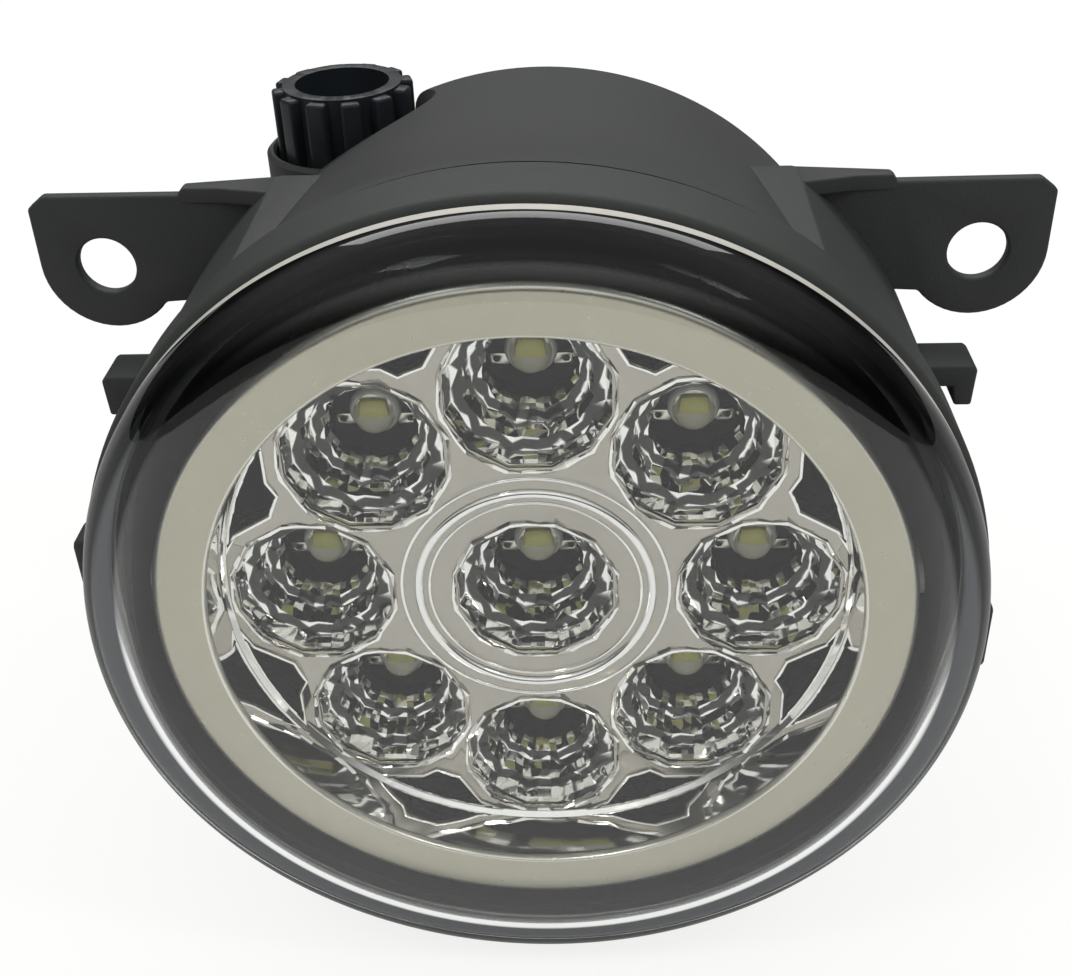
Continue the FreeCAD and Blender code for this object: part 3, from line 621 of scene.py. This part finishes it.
# %% [markdown]
# ## The cups
# Each cup steps inwards twice, over two ledges painted dark as shade, so it shows three bands of small facets
# that catch the light at random. One cup is lathed with twelve sides, its facet rings are shaken a little
# with a fixed seed, and it is copied eight times. Past its throat it widens again, clear of the lamp's leads.

# %% Cups
FACETS = (1.3, 4.05, 6.5)


def cup(name, seed):
    flange = [(9.05, 0.1), (8.95, -0.28), (8.7, -0.28), (8.6, 0.1)]
    bands = [(8.25, FACETS[0]), (7.9, UPPER_LEDGE[0]), (6.6, UPPER_LEDGE[1]), (6.35, FACETS[1]),
             (6.1, LOWER_LEDGE[0]), (4.95, LOWER_LEDGE[1]), (4.75, FACETS[2]), (4.6, THROAT - 0.1)]
    back = [(5.2, THROAT + 0.1), (5.2, 9.8), (5.6, 9.8), (6.4, 6.9), (8.7, 2.7)]
    profile = [(radius, PANEL + depth) for radius, depth in loop(flange + bands + back)]
    made = lathe(name, profile, sides=FLATS, cuts=2, phase=HALF_FLAT)
    shaken = [AXIS.y + (PANEL + depth) * MM for depth in FACETS]
    only(made)
    for vertex in made.data.vertices:
        vertex.select = min(abs(vertex.co.y - depth) for depth in shaken) < 0.02 * MM
    bpy.ops.object.mode_set(mode="EDIT")
    bpy.ops.mesh.select_mode(type="VERT")
    bpy.ops.transform.vertex_random(offset=0.3 * MM, seed=seed)
    bpy.ops.object.mode_set(mode="OBJECT")
    return smooth(made, 3)


first = cup("cup", 7)
cups = [first] + [copy_at(first, (x, 0, z)) for x, z in cup_places[1:]]
reflector = join("reflector_shell", [wall, panel, sleeves, bead] + cups)
dress(reflector, chrome, "optic", "chrome", "reflector")
print("reflector", len(reflector.data.polygons), "faces")

# %% [markdown]
# ## The lamps
# A lamp is a small ceramic body with a square of yellow phosphor under a clear silicone dome, and a lead
# with an eye on either side. The dome is a sphere cut in half, so its flat side rests on the body.

# %% Lamps
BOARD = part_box("led_board")[0].y
board_depth = (BOARD - AXIS.y) / MM
body_front = board_depth - 1.3
DOME = 2.2


def lamp_parts():
    body = lathe("lamp_body", [(2.7, board_depth), (2.7, body_front + 0.5), (2.4, body_front)], sides=48,
                 closed=False)
    soften(body, 0.12, 2)
    only()
    bpy.ops.mesh.primitive_uv_sphere_add(segments=48, ring_count=24, radius=DOME * MM,
                                         location=at(0, body_front, 0))
    dome = settle(bpy.context.object, "lamp_dome")
    carve(dome, block("half", (-4, body_front - 0.02, -4), (4, body_front + 4, 4)))
    dot = block("lamp_dot", (-1.2, body_front - 0.35, -0.3), (1.2, body_front - 0.02, 1.35))
    soften(dot, 0.1, 2)
    leads = []
    for side in (-1, 1):
        low, high = sorted((side * 2.3, side * 4.3))
        lead = block("lead", (low, board_depth - 0.45, -1.9), (high, board_depth - 0.02, -0.6))
        eye = lathe("eye", [(0.32, board_depth - 2), (0.32, board_depth + 1)], sides=24, closed=False,
                    centre=at(side * 3.6, 0, -1.25))
        carve(lead, eye)
        leads.append(soften(lead, 0.08, 2))
    return body, dome, dot, join("lamp_lead", leads)


LAMP = (("lamp_bodies", ceramic, "led_body", "led_bodies"),
        ("lamp_domes", dome_clear, "dome_clear", "led_domes"),
        ("lamp_dots", phosphor, "phosphor", "led_phosphors"),
        ("lamp_leads", tinned, "tinned_brass", "led_leads"))
for part, (name, finish, slot, node) in zip(lamp_parts(), LAMP):
    row = [part] + [copy_at(part, (x, 0, z)) for x, z in cup_places[1:]]
    dress(smooth(join(name, row), 35), finish, "optic", slot, node)

# %% [markdown]
# ## The housing
# The housing is one moulding. Its collar and barrel are turned, the neck is a second tube cut flat on top,
# and the ears, shelf, hooks and lugs are plates with soft edges. They are united, so that no inner walls
# are left. Faces that would lie in one plane are kept a hair apart, because a union leaves holes along
# them. The neck has another number of sides than the barrel for the same reason.

# %% Collar, barrel and neck
EAR_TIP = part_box("housing")[1].x / MM
EAR_FRONT = -AXIS.y / MM
EAR_AXIS = -AXIS.z / MM
EAR_BACK = EAR_FRONT + 1.6
DEPTH = 58.0
DECK = 35.0
NECK_REAR = 34.2
BARREL = ((11.0, -0.1), (16.0, 1.4), (30.0, 2.6), (45.0, 4.0), (56.0, 5.3))
GROOVE = RIM - 1.3
MOUTH = 22.0
floor_depth = DEPTH - 2.2
collar_profile = ([(RIM - 3.4, 0.3), (RIM - 0.8, 0.3)] + arc((RIM - 0.6, 1.5), (1.2, 1.2), -80, 0, 5)
                  + [(RIM + 0.6, 8.1), (RIM + 0.45, 8.3), (GROOVE, 8.4), (GROOVE, 9.35), (RIM + 0.2, 9.45)])
barrel_profile = ([(RIM - taper, depth) for depth, taper in BARREL]
                  + arc((RIM - 7.3, 56.0), (1.9, 2.0), 0, 90, 5)
                  + [(MOUTH + 0.3, DEPTH), (MOUTH, DEPTH - 0.3), (MOUTH, floor_depth)]
                  + [(RIM - 7.6, floor_depth), (RIM - 3.4, 8.6)])
shell = lathe("shell", loop(collar_profile + barrel_profile), sides=192)
neck = lathe("neck", loop([(RIM - 2.5, 10.3), (RIM, 10.3), (RIM, NECK_REAR - 0.4), (RIM - 0.4, NECK_REAR),
                           (RIM - 4.6, NECK_REAR), (RIM - 3.6, 20.0)]), sides=164)
carve(neck, block("above", (-60, 0, DECK), (60, 60, 60)))
soften(neck, 0.5, 3, 32)

# %% [markdown]
# The adjuster stands in a scoop out of the barrel. A cylinder is carved away, and a matching well closes
# the hole. The well is a cup with the same centre, trimmed to lie just under the barrel's skin. The tower
# is a short tube round the knob. Both stay closed shells of their own.

# %% Scoop and tower
KNOB_SIDE, KNOB_DEPTH = -22.8, 50.0
KNOB_AXIS = at(KNOB_SIDE, KNOB_DEPTH, 0)
FLOOR = 28.0
SCOOP = 10.8
WELL, WELL_BASE, WELL_TOP = SCOOP - 0.1, FLOOR - 2.2, 50
SKIN = RIM - 0.45


def upright(name, profile, sides=96, closed=True):
    """A turned piece that stands on the knob's axis."""
    return lathe(name, profile, sides=sides, along="Z", centre=KNOB_AXIS, closed=closed)


carve(shell, upright("scoop", [(SCOOP, FLOOR - 0.1), (SCOOP, 60)], closed=False))
well_profile = [(3.0, WELL_BASE), (13.0, WELL_BASE), (13.0, WELL_TOP), (WELL, WELL_TOP), (WELL, FLOOR),
                (3.0, FLOOR)]
well = upright("well", loop(well_profile))
skin_profile = ([(SKIN - 1.0, 12.0)] + [(SKIN - taper, depth) for depth, taper in BARREL[1:]]
                + [(SKIN - 6.5, DEPTH - 0.4)])
carve(well, lathe("envelope", skin_profile, sides=180, closed=False), "INTERSECT")
tower_profile = [(8.65, 23.2), (8.65, 32.6), (8.95, 33.0), (9.3, 33.0), (9.7, 32.6), (9.7, 24.0), (9.3, 23.2)]
tower = upright("tower", loop(tower_profile), sides=90)
carve(tower, lathe("inside", [(36.5, 30), (35.0, DEPTH - 1.9)], sides=96, closed=False))

# %% [markdown]
# Ears, shelf, hooks and lugs are flat plates. Each outline is only its corners, with the ear's lobe as an
# arc.

# %% Ears, shelf, hooks and lugs
HOLE_SIDE = 48.0
LOBE, HOLE = 7.5, 3.25


def ear(side):
    root, top, notch = 29.5, EAR_AXIS + 8.2, EAR_AXIS - 3.8
    lobe = arc((HOLE_SIDE, EAR_AXIS), (LOBE, LOBE), -150, 0, 20)
    below = [(u, v) for u, v in lobe if v < notch or u > HOLE_SIDE]
    outline = [(root, top - 0.1), (root, notch)] + below + [(EAR_TIP, top - 1.4), (EAR_TIP - 1.8, top)]
    made = plate("ear", [(side * u, v) for u, v in outline], EAR_FRONT, EAR_BACK)
    carve(made, lathe("hole", [(HOLE, EAR_FRONT - 2), (HOLE, EAR_FRONT + 6)], sides=64, closed=False,
                      centre=at(side * HOLE_SIDE, 0, EAR_AXIS)))
    return soften(made, 0.35, 3, 28)


CORNER = math.sqrt(RIM ** 2 - DECK ** 2)
HAIR = 0.05
SHELF_TIP = 38.5
half_shelf = [(CORNER - 0.4, EAR_FRONT - 1.7), (34.0, EAR_FRONT - 0.25), (SHELF_TIP, EAR_FRONT - HAIR),
              (SHELF_TIP, EAR_BACK + HAIR), (CORNER, NECK_REAR - HAIR)]
other_half = [(-x, y) for x, y in half_shelf[::-1]]
shelf = plate("shelf", half_shelf + other_half, DECK - 1.8, DECK - HAIR, along="Z")
for side in (-1, 1):
    bar = block("bar", (-1, EAR_FRONT - 2, -1), (1, 40, 1))
    carve(shelf, turned(bar, 45, "Y", at(side * (SHELF_TIP + 0.4), 0, DECK + 0.4)))
soften(shelf, 0.25, 3, 30)


def hook(side):
    outline = [(38, 19.8), (45.2, 19.8), (45.7, 19.3), (45.5, 15.2), (43.7, 15.2), (43.3, 17.4), (38, 17.4)]
    return soften(plate("hook", [(side * u, v) for u, v in outline], 16.5, 22.0), 0.3, 3, 28)


LUG_ROOT, LUG_TIP = RIM - 2, RIM + 2.2
lugs = [block("lug", (LUG_ROOT, 3.0, -9.0), (LUG_TIP, 7.6, -1.0)),
        block("lug", (-LUG_TIP, 3.0, 0.0), (-LUG_ROOT, 7.6, 8.0))]
for lug in lugs:
    soften(lug, 0.7, 3, 30)

# %% Unite the housing
housing = shell
for piece in [neck, shelf, ear(-1), ear(1), hook(-1), hook(1)] + lugs:
    carve(housing, piece, "UNION")
housing = join("housing_moulding", [housing, well, tower])
smooth(housing, 30)
dress(housing, housing_plastic, "housing_body", "housing_plastic", "housing")
print("housing", len(housing.data.polygons), "faces")

# %% [markdown]
# ## The adjuster knob
# The knob is a hollow moulding with twelve rounded ribs. One rib is a rounded bar, copied round the axis
# and united with the core before the top edges are softened.

# %% Knob
RIBS = 12
knob_low, knob_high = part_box("adjuster_knob")
TOP = (knob_high.z - AXIS.z) / MM
BASE = TOP - 9.6
TIP = (knob_high.x - knob_low.x) / 2 / MM
CORE, BORE, SHANK, SCREW = 6.95, 5.5, 4.6, 2.4
shank_end, bore_end = FLOOR + 0.1, BASE + 2.7
knob_profile = [(SCREW, shank_end), (SHANK, shank_end), (SHANK, BASE), (CORE, BASE), (CORE, TOP), (BORE, TOP),
                (BORE, bore_end), (SCREW, bore_end)]
knob = upright("knob_body", loop(knob_profile))
for number in range(RIBS):
    rib = block("rib", (5.9, -1.15, BASE), (TIP, 1.15, TOP - 0.25))
    turned(rib, 360 * (number + 0.5) / RIBS, "Z", KNOB_AXIS)
    soften(rib, 0.4, 4, 40)
    carve(knob, rib, "UNION")
soften(knob, 0.12, 2, 50)
smooth(knob, 30)
dress(knob, knob_plastic, "knob", "knob_plastic", "adjuster_knob")

# %% [markdown]
# ## Pieces that keep their CAD shape
# Boards, screws, seals and the rest are right as they are, so each only gets its finish.

# %% Finishes for the CAD pieces
CAD_FINISHES = {
    "lens_seal": rubber, "adjuster_seal": rubber, "cover_gasket": rubber,
    "pivot_bushes": acetal, "adjuster_nut": acetal,
    "rear_cover": housing_plastic, "vent_cap": knob_plastic,
    "cover_screws": zinc, "card_screws": zinc, "board_screws": zinc, "pivot_pins": zinc,
    "adjuster_screw": zinc, "adjuster_clip": zinc, "socket_blades": tinned,
    "driver_board": solder_mask, "driver_coil": ferrite, "driver_capacitor": can_metal, "driver_chip": epoxy,
    "led_board": lamp_board, "thermal_pad": pad_grey, "heat_sink": cast,
}
for node, finish in CAD_FINISHES.items():
    wear(finish, node)

# %% [markdown]
# ## Floor, light and camera
# The lamp stands on a pale floor in a white room. The floor is a plain diffuse surface that glows for the
# camera, for mirrors and through glass, so it reads as white but keeps a faint shadow. Its mirror image in
# outer surfaces, above all in the lens, is held back, because a real floor is less bright than this one. A
# ray that has bent through the lens's fine haze counts as mirrored too, so only a ray that hasn't passed
# through anything is taken as an outer reflection.

# %% Floor
WHITE = (1.0, 1.0, 0.99, 1.0)
RAYS = ("Is Camera Ray", "Is Glossy Ray", "Is Transmission Ray")
only()
bpy.ops.mesh.primitive_plane_add(size=40, location=(0, 0, cad_low.z - 0.0002))
floor = bpy.context.object
floor.name = "floor"
ground = Finish("floor", (0.86, 0.86, 0.85), 0.9)
direct, glossy, through = [ground.node("LightPath", output=name) for name in RAYS]
outer = glossy * (1 - through)
glow = ground.node("Emission", {}, {"Color": WHITE, "Strength": 0.985 - outer * 0.68})
share = (direct + glossy + through).combine("MINIMUM", 1.0) * 0.85
blend = ground.node("MixShader", {}, {0: share, 2: glow})
ground.tree.links.new(ground.shader.outputs[0], blend.socket.node.inputs[1])
ground.tree.links.new(blend.socket, ground.tree.nodes["Material Output"].inputs["Surface"])
floor.data.materials.append(ground.material)

# %% [markdown]
# The room is dark towards the horizon and bright overhead, as under a large diffuser. Mirrors need that
# contrast: a surface that turns to the front goes dark, and one that turns upwards goes bright. The camera
# sees plain white instead, and outer surfaces mirror a dimmer room, as they do the floor.

# %% World
world = bpy.data.worlds.new("room")
bpy.context.scene.world = world
world.use_nodes = True
room = Nodes(world.node_tree, "Background")
direction = room.node("SeparateXYZ", {}, {"Vector": room.node("TexCoord", output=0)})
height = Signal(room, direction.socket.node.outputs[2])
direct, glossy, through = [room.node("LightPath", output=name) for name in RAYS]
outer = glossy * (1 - through)
overhead = height.step(0.2, 0.75) * 1.05 + 0.06
room.feed("Color", WHITE)
room.feed("Strength", overhead * (1 - outer * 0.6) * (1 - direct) + direct * 0.97)

# %% [markdown]
# Three area lamps add the soft light. The one behind draws a sheen along the top of the barrel, and the two
# in front aren't mirrored, so they leave no squares in the chrome.

# %% Lamps of the studio
def softbox(name, place, target, size, power, mirrored=True):
    light = bpy.data.lights.new(name, "AREA")
    light.shape = "RECTANGLE"
    light.size, light.size_y = size
    light.energy = power
    item = bpy.data.objects.new(name, light)
    bpy.context.scene.collection.objects.link(item)
    item.location = place
    item.visible_glossy = mirrored
    item.rotation_euler = (Vector(target) - Vector(place)).to_track_quat("-Z", "Y").to_euler()


softbox("behind", (0.0, 0.75, 0.7), (0, 0, 0), (1.2, 0.35), 4)
softbox("high left", (-0.35, -0.35, 0.8), (0, 0, -0.03), (0.2, 0.2), 2, mirrored=False)
softbox("high right", (0.5, -0.25, 0.7), (0, 0, -0.03), (0.12, 0.3), 2, mirrored=False)

# %% Camera
eye = Vector((0.007298, -0.142235, 0.063669))
heading, drop, roll = math.radians(3.343), math.radians(33.368), math.radians(-2.361)
forward = Vector((-math.sin(heading) * math.cos(drop), math.cos(heading) * math.cos(drop), -math.sin(drop)))
right = forward.cross(Vector((0, 0, 1))).normalized()
up = right.cross(forward)
tilted_right = right * math.cos(roll) + up * math.sin(roll)
tilted_up = up * math.cos(roll) - right * math.sin(roll)
camera_data = bpy.data.cameras.new("camera")
camera_data.sensor_width = 36.0
camera_data.lens = 46.99
camera_data.clip_start = 0.01
camera = bpy.data.objects.new("camera", camera_data)
bpy.context.scene.collection.objects.link(camera)
axes = Matrix((tilted_right, tilted_up, -forward)).transposed()
camera.matrix_world = Matrix.Translation(eye) @ axes.to_4x4()
bpy.context.scene.camera = camera
bpy.context.scene.view_settings.view_transform = "Standard"
